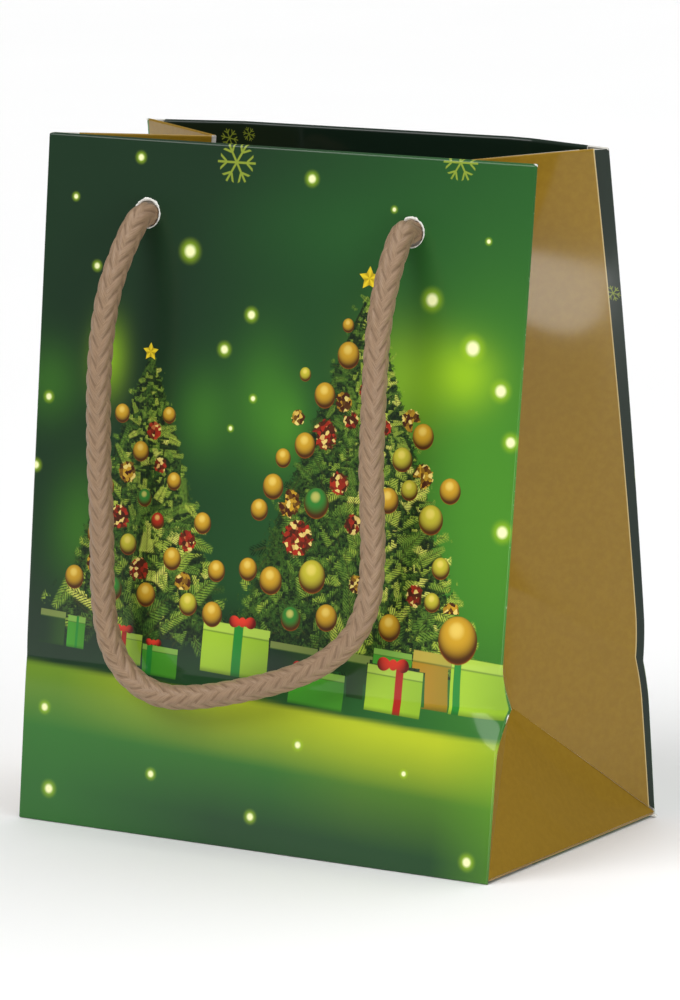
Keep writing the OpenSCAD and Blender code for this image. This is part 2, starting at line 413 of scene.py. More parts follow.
def sheet_of(name, columns, rows):
    """A flat grid, one unit each way from 0 to 1, as the start of a piece of paper."""
    bpy.ops.object.select_all(action="DESELECT")
    middle = (0.5, 0.5, 0)
    bpy.ops.mesh.primitive_grid_add(x_subdivisions=columns, y_subdivisions=rows, size=1, location=middle)
    bpy.ops.object.transform_apply(location=True, rotation=True, scale=True)
    piece = bpy.context.object
    piece.name = name
    piece.data.name = name
    return piece


def thicken(piece, thick, inner, rim):
    """Gives a sheet its thickness behind its face, with its back and its raw edges in other finishes."""
    solid = piece.modifiers.new("thickness", "SOLIDIFY")
    solid.thickness = thick
    solid.offset = -1
    solid.use_even_offset = True
    solid.material_offset = inner
    solid.material_offset_rim = rim
    bpy.ops.object.select_all(action="DESELECT")
    piece.select_set(True)
    bpy.context.view_layer.objects.active = piece
    bpy.ops.object.modifier_apply(modifier=solid.name)
    bpy.ops.object.shade_smooth_by_angle(angle=math.radians(38))


def add_field(piece, name, values, form="FLOAT_VECTOR", domain="CORNER"):
    made = piece.data.attributes.new(name, form, domain)
    key = {"FLOAT": "value", "FLOAT_VECTOR": "vector", "FLOAT_COLOR": "color"}[form]
    made.data.foreach_set(key, np.asarray(values, np.float32).ravel())


class Scene:
    """The printed scene on one panel: each figure gives the faces under it its own coordinates."""

    def __init__(self, corners, places):
        self.corners = corners
        self.middles = corners.mean(axis=1)
        self.places = places
        self.fields = {}
        for name in ("sprig", "twig", "ball", "parcel", "spark"):
            self.fields[name] = np.full((*corners.shape[:2], 3), 9.0)
        for name in ("tint", "wrap", "ribbon"):
            self.fields[name] = np.ones((*corners.shape[:2], 4))

    def figure(self, field, x, h, size, turn, third, extra=(), box=False):
        """Lays one figure with its middle at x, h. Its coordinates run from -1 to 1, or 0 to 1 in a box."""
        size = np.array(size, float)
        reach = np.linalg.norm(size) + 0.7
        near = np.flatnonzero((np.abs(self.middles - (x, h)) < reach).all(axis=1))
        if not len(near):
            return
        off = self.corners[near] - (x, h)
        along = off[..., 0] * math.cos(turn) + off[..., 1] * math.sin(turn)
        aside = off[..., 1] * math.cos(turn) - off[..., 0] * math.sin(turn)
        own = np.stack([along / size[0], aside / size[1]], axis=-1)
        touched = (np.abs(own).min(axis=1) < 1.0).all(axis=1) | (np.abs(own.mean(axis=1)) < 1.0).all(axis=1)
        faces = near[touched]
        own = own[touched]
        if box:
            own = (own + 1) / 2
        self.fields[field][faces, :, :2] = own
        self.fields[field][faces, :, 2] = third
        for name, colour in dict(extra).items():
            self.fields[name][faces] = colour


def blob(places, x, h, wide, tall):
    """A soft round glow of that size, as a share from 0 to 1 at each place."""
    off = ((places[:, 0] - x) / wide) ** 2 + ((places[:, 1] - h) / tall) ** 2
    return np.exp(-off)[:, None]


def ground_of(places):
    """The scene's backdrop: night green, a glow behind the trees, and a bright floor that fades."""
    x, h = places.T
    dark = np.array(ink(22, 50, 28)[:3])
    mid = np.array(ink(40, 100, 40)[:3])
    fresh = np.array(ink(74, 140, 36)[:3])
    lime = np.array(ink(150, 196, 30)[:3])
    floor = np.array(ink(178, 192, 38)[:3])
    rightward_share = np.clip((x + 40) / 95 + (60 - h) / 300, 0, 1)[:, None]
    colour = dark * (1 - rightward_share) + mid * rightward_share
    for share, glow in (
        (0.75 * blob(places, 47, 84, 17, 30), fresh),
        (0.8 * blob(places, 55, 70, 14, 34), fresh),
        (0.95 * blob(places, 44, 101, 7.5, 6.5), lime),
        (0.55 * blob(places, 31, 99, 10, 10), lime),
        (0.55 * blob(places, -2, 92, 7, 12), fresh),
        (0.7 * blob(places, 4, 88, 5, 8), fresh),
        (0.4 * blob(places, -54, 92, 7, 8), fresh),
        (0.5 * blob(places, -45, 62, 7, 12), fresh),
        (0.65 * blob(places, -40, 98, 4, 7), lime),
        (0.45 * blob(places, -16, 88, 7, 9), fresh),
        (0.35 * blob(places, 20, 128, 30, 10), mid),
        (0.85 * blob(places, -14, 43, 46, 7), np.array(ink(12, 36, 18)[:3])),
    ):
        colour = colour * (1 - share) + glow * share
    line = 34.0 - (x + 57) * 0.045
    below = np.clip((line - h) / 1.2, 0, 1)[:, None]
    fade = np.clip((line - h) / 14, 0, 1)[:, None] ** 1.25
    fade = np.clip(fade - 0.12 * np.clip((x - 5) / 20, 0, 1)[:, None], 0, 1)
    lit = floor * (1 - fade) + np.array(ink(52, 112, 36)[:3]) * fade
    deep = np.clip((line - h - 12) / 14, 0, 1)[:, None]
    lit = lit * (1 - deep) + np.array(ink(26, 68, 30)[:3]) * deep
    right_dim = 0.5 * np.clip((x - 44) / 14, 0, 1)[:, None]
    lit = lit * (1 - right_dim) + np.array(ink(92, 150, 38)[:3]) * right_dim
    left_dim = 0.7 * np.clip((-8 - x) / 40, 0, 1)[:, None]
    lit = lit * (1 - left_dim) + np.array(ink(44, 112, 36)[:3]) * left_dim
    colour = colour * (1 - below) + lit * below
    return np.hstack([colour, np.ones((len(places), 1))])


def grow_tree(scene, dice, x, foot, top, half_foot, sprays, lit):
    """A fir: sprays of needles laid from the foot up, brighter on the side towards the light."""
    order = np.sort(dice.random(sprays))
    for number, share in enumerate(order):
        height = foot + (top - foot) * share**1.15
        reach = half_foot * (1 - share) ** 0.92 + 0.8
        aside = dice.uniform(-1, 1)
        aside = np.sign(aside) * abs(aside) ** 0.75
        length = dice.uniform(3.4, 6.0) * (0.38 + 0.62 * (1 - share))
        turn = math.pi / 2 - aside * dice.uniform(0.9, 1.9) + dice.normal(0, 0.3)
        if dice.random() < 0.35:
            turn = -math.pi / 2 + aside * 1.1 + dice.normal(0, 0.5)
        shade = 0.45 * max(0, 1 - share / 0.16)
        tone = np.clip(dice.normal(0.42, 0.2) + lit * aside * 0.3 + 0.1 * share - shade, 0, 1)
        field = "sprig" if number % 2 else "twig"
        place = (x + aside * reach, height + dice.normal(0, 1.0))
        scene.figure(field, *place, (length, length * dice.uniform(0.42, 0.6)), turn, tone)


gold_ball = ink(206, 160, 40)
pale_ball = ink(196, 186, 52)
red_ball = ink(176, 44, 24)
green_ball = ink(48, 128, 48)
lime_wrap = ink(160, 198, 48)
gold_wrap = ink(170, 128, 28)
green_wrap = ink(66, 150, 38)
deep_wrap = ink(18, 48, 24)
green_ribbon = ink(34, 132, 44)
red_ribbon = ink(168, 34, 22)
no_ribbon = -4.0
smooth_kind = 0.0
cone_kind = 1.0
bow_kind = 2.0
dot_kind = 0.0
flake_kind = 1.0
star_kind = 2.0
big_tree_balls = [
    (17, 109, 1.1, gold_ball), (17.5, 103, 2.1, gold_ball), (12.5, 94.5, 2, gold_ball),
    (7.6, 98.4, 1.1, pale_ball), (8.5, 84, 2, gold_ball), (3.5, 81, 1.5, gold_ball),
    (1.5, 75, 2, gold_ball), (-1.5, 70, 1.7, gold_ball), (-3.4, 57.6, 1.8, gold_ball),
    (2.2, 55.8, 2.2, gold_ball), (12, 72.5, 2.4, green_ball), (12, 57.5, 2.6, pale_ball),
    (7.5, 48.5, 1.9, green_ball), (16, 49.5, 2.1, gold_ball), (36, 88, 2, gold_ball),
    (31.5, 83, 1.9, pale_ball), (43, 77.6, 2, gold_ball), (39, 71.5, 2.3, pale_ball),
    (33.6, 77, 1.6, pale_ball), (28.8, 74.5, 2, gold_ball), (42, 62, 1.7, pale_ball),
    (47, 48, 3.7, gold_ball), (31, 49, 2.1, gold_ball), (24, 101, 1.2, gold_ball),
    (25, 63, 1.6, gold_ball), (40.5, 55, 1.5, pale_ball),
]
big_tree_cones = [
    (19, 90, 1.5, red_ball), (17, 93.5, 1.6, gold_ball), (13, 86.5, 2.4, red_ball),
    (17, 77, 1.9, red_ball), (21, 69, 1.7, red_ball), (8, 65, 3, red_ball), (5.5, 72, 2.3, gold_ball),
    (36.5, 80, 2, gold_ball), (33, 91, 1.8, gold_ball), (36.5, 56, 1.8, red_ball),
    (22, 96, 1.3, red_ball), (27, 89, 1.3, red_ball), (6.5, 89.5, 1.3, gold_ball),
    (45, 53.5, 1.6, gold_ball), (26, 80, 1.2, pale_ball), (22.5, 57, 1.5, gold_ball),
]
small_tree_balls = [
    (-36, 87, 1.5, gold_ball), (-24.5, 87.5, 1.3, gold_ball), (-31, 79.5, 1.6, gold_ball),
    (-22.5, 74, 1.4, gold_ball), (-39, 71.5, 1.5, gold_ball), (-29.5, 70, 1.4, green_ball),
    (-15, 66, 1.7, gold_ball), (-41, 61.5, 1.8, gold_ball), (-33, 60, 1.7, pale_ball),
    (-22, 58, 1.8, gold_ball), (-11, 56.5, 1.7, gold_ball), (-46, 52, 1.9, gold_ball),
    (-36.5, 50.5, 2, green_ball), (-28, 50, 1.9, gold_ball), (-17.5, 49, 1.8, pale_ball),
    (-11.5, 47.5, 2, gold_ball), (-26, 65.5, 1.3, red_ball),
]
small_tree_cones = [
    (-28, 84, 1.5, red_ball), (-34, 75, 1.8, gold_ball), (-26, 77, 1.3, red_ball),
    (-35.5, 65.5, 2, red_ball), (-18.5, 62, 1.8, red_ball), (-30, 55, 2, red_ball),
    (-41, 55.5, 1.8, gold_ball), (-19, 53.5, 1.7, gold_ball),
]
parcels = [
    (-51, 41, 3.2, 3.6, deep_wrap, green_ribbon, no_ribbon),
    (-45, 40.5, 2.2, 3.4, green_wrap, green_ribbon, 0.55),
    (-24.5, 36.5, 5, 3.2, green_wrap, green_ribbon, 0.3),
    (-33, 38.5, 4.6, 3.3, lime_wrap, red_ribbon, 0.5),
    (-5.5, 40.6, 8.2, 5.4, lime_wrap, green_ribbon, 0.53),
    (9, 39.5, 6.2, 3.8, deep_wrap, green_ribbon, no_ribbon),
    (22, 38.5, 7.5, 4.6, deep_wrap, green_ribbon, no_ribbon),
    (33.5, 41.2, 6, 3.2, green_wrap, green_ribbon, no_ribbon),
    (14.5, 34.8, 6.6, 3.8, green_wrap, red_ribbon, no_ribbon),
    (41.5, 39.2, 4.8, 5.9, gold_wrap, gold_wrap, no_ribbon),
    (32.8, 36.3, 6.6, 4.8, lime_wrap, red_ribbon, 0.58),
    (51.6, 38.6, 5.9, 6, lime_wrap, green_ribbon, 0.13),
]
bows = [(-4, 46.6, 2.7, red_ribbon), (11.5, 39, 2.4, red_ribbon), (32.4, 41.6, 3.1, red_ribbon),
        (-33, 42.4, 1.9, red_ribbon), (-25.5, 40.3, 1.6, green_ribbon)]
lights = [
    (-34.5, 140, 0.8), (6.5, 138, 1.0), (-21.5, 121.5, 1.5), (-44, 117, 0.75), (-6, 109.5, 1.0),
    (-12, 102, 1.0), (36, 115.5, 1.5), (46, 106.5, 1.7), (53, 98.5, 1.4), (-54.5, 89, 0.8),
    (-57, 74.5, 0.9), (-4.5, 92.5, 0.6), (56, 88.5, 1.2), (55.5, 70.5, 1.4), (-52, 24, 0.9),
    (11, 23, 0.8), (-24.5, 13, 0.8), (-50, 7, 1.1), (36.5, 20, 0.6), (0.5, 7, 0.9), (52.5, 4, 1.1),
    (-9.5, 86, 0.5), (48, 128, 0.5), (26, 133, 0.5), (-50, 131, 0.6),
]
flakes = [(-11.5, 140.3, 4.6), (40.5, 143.3, 4)]
stars = [(21.3, 118.8, 2.6), (-29.8, 100.2, 2)]


def printed_scene(piece):
    """Prints the winter scene on a flat sheet whose points are in millimetres across and up."""
    mesh = piece.data
    places = points_of(piece)[:, :2]
    loops = np.zeros(len(mesh.loops), int)
    mesh.loops.foreach_get("vertex_index", loops)
    corners = places[loops].reshape(-1, 4, 2)
    scene = Scene(corners, places)
    dice = np.random.default_rng(12)
    grow_tree(scene, dice, -29.5, 43, 97, 20.5, 430, 0.3)
    grow_tree(scene, dice, 21.5, 42, 113, 28.5, 860, 0.75)
    for x, h, wide, tall, wrap, ribbon, band in parcels:
        scene.figure("parcel", x, h, (wide, tall), -0.05, band, {"wrap": wrap, "ribbon": ribbon}, box=True)
    for group, kind in ((big_tree_cones, cone_kind), (small_tree_cones, cone_kind),
                        (big_tree_balls, smooth_kind), (small_tree_balls, smooth_kind), (bows, bow_kind)):
        for x, h, size, tint in group:
            scene.figure("ball", x, h, (size * 1.25, size * 1.35), 0, kind, {"tint": tint})
    for group, kind, spread in ((lights, dot_kind, 2.2), (flakes, flake_kind, 1), (stars, star_kind, 1)):
        for x, h, size in group:
            scene.figure("spark", x, h, (size * spread, size * spread), 0, kind)
    for name, values in scene.fields.items():
        add_field(piece, name, values, "FLOAT_VECTOR" if values.shape[-1] == 3 else "FLOAT_COLOR")
    add_field(piece, "ground", ground_of(places), "FLOAT_COLOR", "POINT")
    trees = np.zeros(len(places))
    for x, foot, top, half_foot in ((-29.5, 42, 99, 21), (21.5, 41, 115, 28.5)):
        height = np.clip((places[:, 1] - foot) / (top - foot), 0, 1)
        inside = 1 - np.abs(places[:, 0] - x) / (half_foot * (1 - height) ** 0.92 + 0.6)
        inside = np.where((places[:, 1] > foot - 1) & (places[:, 1] < top), inside, -1)
        trees = np.maximum(trees, np.clip(0.5 + inside * 2.2, 0, 1))
    add_field(piece, "fir", trees, "FLOAT", "POINT")


def print_finish():
    """Art paper under clear film. Printed figures are drawn from the coordinates that each face carries."""
    finish = Finish("glossy_printed_paper")
    place = finish.place()
    clutter = finish.noise(place, 1500.0, 3.0, 0.7)
    drift = finish.noise(place, 260.0, 1.0)
    fir = finish.attribute("fir", "Fac")
    colour = finish.attribute("ground", "Color")
    needles = finish.mix(clutter.rise(0.36, 0.66), ink(7, 22, 9), ink(60, 94, 28))
    needles = finish.mix(drift.rise(0.42, 0.6) * 0.7, needles, ink(10, 26, 12))
    colour = finish.mix((fir + (clutter - 0.5) * 1.1).rise(0.52, 0.6), colour, needles)
    for field in ("twig", "sprig"):
        along, aside, tone = finish.parts(finish.attribute(field))
        off = aside.math("ABSOLUTE")
        row = (along * 5.6 - off * 3.6 + clutter).math("FRACT")
        blade = (row - 0.5).math("ABSOLUTE").rise(0.46, 0.2)
        outline = (off + along * 0.32 + clutter * 0.5).rise(1.02, 0.72)
        spray = blade * outline * along.math("ABSOLUTE").rise(1.0, 0.86)
        stem = off.rise(0.12, 0.05) * along.rise(0.8, 0.6) * 0.5
        leaf = finish.node("ShaderNodeValToRGB", {"stops": [
            (0, ink(14, 38, 12)), (0.25, ink(52, 90, 28)), (0.5, ink(108, 142, 46)),
            (0.75, ink(166, 184, 64)), (1, ink(220, 218, 104)),
        ]}, {0: tone + (clutter - 0.5) * 0.8})
        inside = tone < 2
        colour = finish.mix(spray * inside, colour, leaf)
        colour = finish.mix(stem * inside, colour, ink(58, 64, 22))
    across, up, band = finish.parts(finish.attribute("parcel"))
    wrap = finish.attribute("wrap", "Color")
    wrap = finish.mix(across.rise(0.1, 1.1) * 0.5, wrap, finish.mix(0.62, wrap, ink(70, 118, 26)))
    wrap = finish.mix(up.rise(0.78, 0.82) * 0.25, wrap, ink(214, 232, 120))
    lid = (up - 0.8).math("ABSOLUTE").rise(0.03, 0.0) * 0.55
    wrap = finish.mix(lid, wrap, ink(40, 84, 24))
    on_band = (across - band).math("ABSOLUTE").rise(0.075, 0.06)
    wrap = finish.mix(on_band, wrap, finish.attribute("ribbon", "Color"))
    foot_shade = up.rise(0.12, 0.0) * 0.5
    wrap = finish.mix(foot_shade, wrap, ink(24, 60, 16))
    in_box = across.rise(0.0, 0.012) * across.rise(1.0, 0.988) * up.rise(0.0, 0.02) * up.rise(1.0, 0.98)
    colour = finish.mix(in_box, colour, wrap)
    across, up, kind = finish.parts(finish.attribute("ball"))
    tint = finish.attribute("tint", "Color")
    square = across * across + up * up
    globe = (1 - square).math("MAXIMUM", 0.0).math("SQRT")
    light = across * -0.1 + up * 0.42 + globe * 0.9
    shaded = finish.mix(light.rise(0.98, 0.2), tint, ink(74, 40, 8))
    shaded = finish.mix(light.rise(0.88, 1.0) * 0.5, shaded, ink(250, 226, 120))
    shaded = finish.mix(globe.rise(0.5, 0.1) * up.rise(0.1, -0.8) * 0.7, shaded, ink(190, 96, 16))
    cell_sockets = {"Vector": place, "Scale": 1250.0}
    cells = finish.node("ShaderNodeTexVoronoi", {"feature": "F1"}, cell_sockets, "Color")
    spots = finish.parts(cells)[0]
    scales = finish.mix(spots.rise(0.2, 0.9), ink(70, 30, 10), tint)
    scales = finish.mix(spots.rise(0.78, 0.86) * 0.9, scales, ink(236, 214, 120))
    shaded = finish.mix(kind > 0.5, shaded, scales)
    silk = finish.mix(light.rise(0.4, 1.0), ink(96, 12, 8), ink(222, 60, 40))
    shaded = finish.mix(kind > 1.5, shaded, silk)
    round_mask = (square + (kind > 0.5) * (clutter - 0.42) * 1.3).rise(1.0, 0.9)
    loops = (square * square - (across * across - up * up) * 0.95).rise(0.0, -0.03)
    knot = square.rise(0.09, 0.06)
    bow_mask = loops.math("MAXIMUM", knot)
    is_bow = kind > 1.5
    ball_mask = round_mask * (1 - is_bow) + bow_mask * is_bow
    colour = finish.mix(ball_mask * (kind < 3), colour, shaded)
    across, up, kind = finish.parts(finish.attribute("spark"))
    away = (across * across + up * up).math("SQRT")
    turn = up.math("ARCTAN2", across)
    halo = away.rise(1.0, 0.1) * 0.75
    core = away.rise(0.52, 0.2)
    is_dot = kind < 0.5
    colour = finish.mix(halo * is_dot, colour, ink(168, 206, 30))
    colour = finish.mix(core * is_dot, colour, ink(250, 252, 190))
    wedge = ((turn * (3 / math.pi) + 0.5).math("FRACT") - 0.5).math("ABSOLUTE") * (math.pi / 3)
    run = away * wedge.math("COSINE")
    aside = away * wedge.math("SINE")
    arm = aside.rise(0.07, 0.03) * run.rise(1.0, 0.96)
    fork = (aside - (run - 0.5) * 0.9).math("ABSOLUTE").rise(0.09, 0.04)
    fork = fork * run.rise(0.5, 0.52) * run.rise(0.86, 0.82)
    is_flake = (kind > 0.5) * (kind < 1.5)
    colour = finish.mix(arm.math("MAXIMUM", fork) * is_flake * 0.62, colour, ink(170, 186, 60))
    fifth = ((turn - math.pi / 2) * (2.5 / math.pi) + 0.5).math("FRACT")
    point = (fifth - 0.5).math("ABSOLUTE") * (math.pi / 2.5)
    edge = away * (point.math("COSINE") + point.math("SINE") * 1.9)
    star = edge.rise(1.0, 0.94) * (kind > 1.5) * (kind < 3)
    colour = finish.mix(star, colour, finish.mix(point.rise(0.0, 0.6), ink(246, 216, 40), ink(190, 160, 20)))
    wear = finish.attribute("wear", "Fac")
    fleck = finish.noise(place, 900.0, 4.0, 0.75)
    scuff = (wear * 0.62 + fleck).rise(0.98, 1.1)
    colour = finish.mix(scuff * 0.6, colour, ink(190, 212, 176))
    ripple = finish.noise(place, 70.0, 2.0)
    grain = finish.noise(place, 1400.0, 1.0)
    film = finish.bump(ripple + grain * 0.05, 0.12, 1.2 * mm)
    return finish.surface(base_color=colour, roughness=0.5, specular_ior_level=0.15,
                          coat_weight=0.5 - scuff * 0.4, coat_roughness=0.09, normal=film)


def plain_paper():
    """The uncoated white back of the sheet, seen inside the bag and at raw edges."""
    finish = Finish("white_paper_back")
    fibres = finish.noise(finish.place(), 1100.0, 4.0, 0.7)
    clouds = finish.noise(finish.place(), 90.0, 2.0)
    colour = finish.mix(fibres.rise(0.3, 0.8), ink(232, 230, 222), ink(246, 245, 240))
    colour = finish.mix(clouds.rise(0.4, 0.8) * 0.25, colour, ink(222, 219, 208))
    return finish.surface(base_color=colour, roughness=0.85, normal=finish.bump(fibres, 0.2, 0.08 * mm))


printed_paper = print_finish()
paper_back = plain_paper()
for face in ("front", "back"):
    panel = sheet_of(f"{face}_printed_panel", panel_columns, panel_rows)
    flat = points_of(panel)
    across = packed(flat[:, 0], panel_columns, 2 * half_w, fold_r, fold_r) - half_w
    up = 0.12 * mm + packed(flat[:, 1], panel_rows, panel_h - 0.12 * mm, fold_r, top_r)
    for hole_x in hole_places:
        off = np.stack([across - hole_x, up - hole_h], axis=1)
        away = np.linalg.norm(off, axis=1)
        close = (away > hole_r * 0.72) & (away < hole_r * 1.16)
        pulled = off[close] / away[close, None] * hole_r
        across[close] = hole_x + pulled[:, 0]
        up[close] = hole_h + pulled[:, 1]
    reading = -side_of[face]
    put_points(panel, np.stack([across * reading / mm, up / mm, up * 0], axis=1))
    printed_scene(panel)
    side_edge = 0.68 * np.exp(-(half_w - np.abs(across)) / (0.5 * mm))
    foot_edge = np.exp(-up / (0.5 * mm)) * 0.8
    score_edge = 0.62 * np.exp(-np.abs(up - score_h) / (0.3 * mm)) * np.clip(0.3 + across / half_w, 0, 1)
    add_field(panel, "wear", np.maximum(np.maximum(side_edge, foot_edge), score_edge), "FLOAT", "POINT")
    bpy.ops.object.mode_set(mode="EDIT")
    bpy.ops.mesh.select_mode(type="FACE")
    bpy.ops.mesh.select_all(action="DESELECT")
    bpy.ops.object.mode_set(mode="OBJECT")
    for polygon in panel.data.polygons:
        spots = [math.hypot(across[v] - x, up[v] - hole_h) for x in hole_places for v in polygon.vertices]
        inner = [min(spots[k], spots[k + 4]) for k in range(4)]
        polygon.select = max(inner) < hole_r * 1.001
    depth = rolled(half_w - np.abs(across), fold_r) + rolled(up, fold_r) + rolled(panel_h - up, top_r)
    put_points(panel, stand(across, np.minimum(depth, top_r), up, face))
    bpy.ops.object.mode_set(mode="EDIT")
    bpy.ops.mesh.delete(type="FACE")
    if face == "back":
        bpy.ops.mesh.select_all(action="SELECT")
        bpy.ops.mesh.flip_normals()
    bpy.ops.object.mode_set(mode="OBJECT")
    for made in (printed_paper, paper_back):
        panel.data.materials.append(made)
    thicken(panel, paper_t, 1, 1)
    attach(panel, face)
    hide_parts(f"{face}_panel")


# ---- Torn rims of the holes ----
# The punch tears the film and leaves a ragged white lip of paper round each hole, highest at its top left.
# Each is a ring of bare paper bent from a grid, which stays part of its panel.
def torn_rim(name, face, hole_x, dice):
    """A ragged ring of bare paper that stands a little proud of the print round one hole."""
    rim = sheet_of(name, 96, 3)
    flat = points_of(rim)
    turn = flat[:, 0] * math.tau
    ring = np.round(flat[:, 1] * 3).astype(int)
    spot = np.round(flat[:, 0] * 96).astype(int) % 96
    rough = np.convolve(np.tile(dice.random(96), 3), (0.25, 0.5, 0.25), "same")[96:192]
    high_side = 0.45 + 0.55 * np.cos(turn - 2.2)
    width = np.array([0.0, -0.14, 0.12, 0.34])[ring] * mm
    width = width * (0.4 + 1.2 * rough[spot]) * np.where(ring > 1, 0.35 + high_side, 1)
    away = hole_r + width
    proud = np.array([-0.1, 0.1, 0.26, 0.03])[ring] * mm * np.where(ring > 0, 0.5 + rough[spot], 1)
    across = hole_x + away * np.cos(turn)
    up = hole_h + away * np.sin(turn)
    put_points(rim, stand(across, -proud, up, face))
    bpy.ops.object.mode_set(mode="EDIT")
    bpy.ops.mesh.select_all(action="SELECT")
    bpy.ops.mesh.remove_doubles(threshold=0.01 * mm)
    bpy.ops.object.mode_set(mode="OBJECT")
    if face == "front":
        rim.data.flip_normals()
    rim.data.materials.append(paper_back)
    thicken(rim, 0.09 * mm, 0, 0)
    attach(rim, face)


dice = np.random.default_rng(5)
for face in ("front", "back"):
    for hole_x, hand in zip(hole_places, ("left", "right")):
        torn_rim(f"{face}_{hand}_hole_rim", face, hole_x, dice)


# ---- Turned-in hems and card strips ----
# The top edge is folded in over a strip of grey recycled card and glued, so that the holes have something to
# hold to. Both are bent from flat grids to the panel's own curve, the hem printed and the card bare.
hem_h = 30 * mm
hem_half = half_w - 5 * mm
card_h = 26 * mm
card_t = 0.7 * mm


def backdrop_only(piece, flakes_here):
    """Prints plain night green, with a few flakes, on a flat sheet whose points are in millimetres."""
    places = points_of(piece)[:, :2]
    loops = np.zeros(len(piece.data.loops), int)
    piece.data.loops.foreach_get("vertex_index", loops)
    scene = Scene(places[loops].reshape(-1, 4, 2), places)
    for x, h, size in flakes_here:
        scene.figure("spark", x, h, (size, size), 0.2, flake_kind)
    for name, values in scene.fields.items():
        add_field(piece, name, values, "FLOAT_VECTOR" if values.shape[-1] == 3 else "FLOAT_COLOR")
    add_field(piece, "ground", np.tile(ink(14, 34, 21), (len(places), 1)), "FLOAT_COLOR", "POINT")
    add_field(piece, "fir", np.zeros(len(places)), "FLOAT", "POINT")
    add_field(piece, "wear", np.zeros(len(places)), "FLOAT", "POINT")


def card_finish(name, light, dark):
    """Grey recycled board: pulp clouds, short fibres and a few darker specks."""
    finish = Finish(name)
    pulp = finish.noise(finish.place(), 420.0, 4.0, 0.7)
    specks = finish.noise(finish.place(), 1600.0, 1.0)
    colour = finish.mix(pulp.rise(0.3, 0.75), dark, light)
    colour = finish.mix(specks.rise(0.7, 0.8) * 0.5, colour, ink(96, 90, 80))
    return finish.surface(base_color=colour, roughness=0.9, normal=finish.bump(pulp, 0.3, 0.15 * mm))


grey_card = card_finish("grey_card", ink(178, 172, 160), ink(148, 142, 132))
for face in ("front", "back"):
    hem = sheet_of(f"{face}_turned_in_hem", 110, 44)
    flat = points_of(hem)
    across = (flat[:, 0] - 0.5) * 2 * hem_half
    down = np.interp(flat[:, 1], (0, 8 / 44, 1), (0, top_r * math.pi / 2, hem_h))
    put_points(hem, np.stack([across / mm, down / mm, down * 0], axis=1))
    backdrop_only(hem, [(-36, 4, 2.2), (-31, 3, 1.6), (-44, 9, 1.6), (2, 12, 1.8), (43, 10, 1.5)])
    angle = np.minimum(down / top_r, math.pi / 2)
    fall = np.maximum(down - top_r * math.pi / 2, 0)
    waves = 0.12 * mm * np.sin(across / (11 * mm)) * np.clip(down / hem_h, 0, 1)
    depth = top_r * (1 + np.sin(angle)) + waves
    put_points(hem, stand(across, depth, panel_h - top_r * (1 - np.cos(angle)) - fall, face))
    if face == "back":
        hem.data.flip_normals()
    for made in (printed_paper, paper_back):
        hem.data.materials.append(made)
    thicken(hem, paper_t, 1, 1)
    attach(hem, face)
    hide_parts(f"{face}_hem")
    strip = sheet_of(f"{face}_card_strip_bent", 60, 16)
    flat = points_of(strip)
    across = (flat[:, 0] - 0.5) * 2 * hem_half
    up = panel_h - 1 * mm - flat[:, 1] * card_h
    put_points(strip, stand(across, 0.35 * mm + card_t, up, face))
    if face == "back":
        strip.data.flip_normals()
    strip.data.materials.append(grey_card)
    thicken(strip, card_t, 0, 0)
    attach(strip, face)
    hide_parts(f"{face}_card_strip")


# ---- Knots ----
# Each end of a handle is tied inside the bag in an overhand knot, pulled up against the hem, and its tail
# hangs down with a cut, slightly spread end. Both are swept from the handle's own braid and finish.
knot_depth = 6.2 * mm
knot_size = 1.5 * mm
for face in ("front", "back"):
    for hole_x, hand in zip(hole_places, ("left", "right")):
        middle = stand(hole_x, knot_depth, hole_h, face)
        share = np.linspace(0, math.tau, 240)
        loops = np.stack([
            np.sin(share) + 2 * np.sin(2 * share),
            -np.sin(3 * share) * 1.15,
            np.cos(share) - 2 * np.cos(2 * share),
        ], axis=1) * knot_size
        knot = braid(f"{face}_{hand}_knot_wraps", middle + loops, (0, 1, 0), rope_d * 0.86)
        knot.data.materials.append(cord_finish)
        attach(knot, face)
        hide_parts(f"{face}_{hand}_knot")
        inward = -side_of[face]
        drops = [(0, 0, 1), (0.4, 0.3 * inward, -4), (0.9, 0.8 * inward, -8), (1.2, 1.2 * inward, -12)]
        hang = [middle + np.array(drop) * mm for drop in drops]
        tail_line = smooth_line([spot / mm for spot in hang], 0.34) * mm
        tail = braid(f"{face}_{hand}_knot_tail", tail_line, (1, 0, 0), rope_d * 0.9)
        spread = points_of(tail)
        low = spread[:, 2].min()
        end_share = np.clip(1 - (spread[:, 2] - low) / (3 * mm), 0, 1)
        core = np.array([np.interp(spread[:, 2], tail_line[::-1, 2], tail_line[::-1, k]) for k in range(2)]).T
        spread[:, :2] = core + (spread[:, :2] - core) * (1 + 0.22 * end_share**2)[:, None]
        put_points(tail, spread)
        tail.data.materials.append(cord_finish)
        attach(tail, face)


# ---- Pleated gussets ----
# Each side is a pair of gold laminated halves that fold in along a middle pleat, with turned-in hems and a
# triangle at the foot. The sheets are bent from grids between the panels' folds and the pleat. The right rear
# half is cut a little short and glued over the rear panel's lap.
gusset_columns = 46
gusset_rows = 130
gusset_low = 1.1 * mm
pleat_low = {1: np.array([42.5, 0, 28.5]) * mm, -1: np.array([-42, 0, 29.5]) * mm}
pleat_high = {1: np.array([27.2, 0.5, 139.6]) * mm, -1: np.array([-28.5, -0.4, 142.4]) * mm}
gusset_w = 34.5 * mm
pleat_r = 0.4 * mm
gusset_sides = {1: "right", -1: "left"}


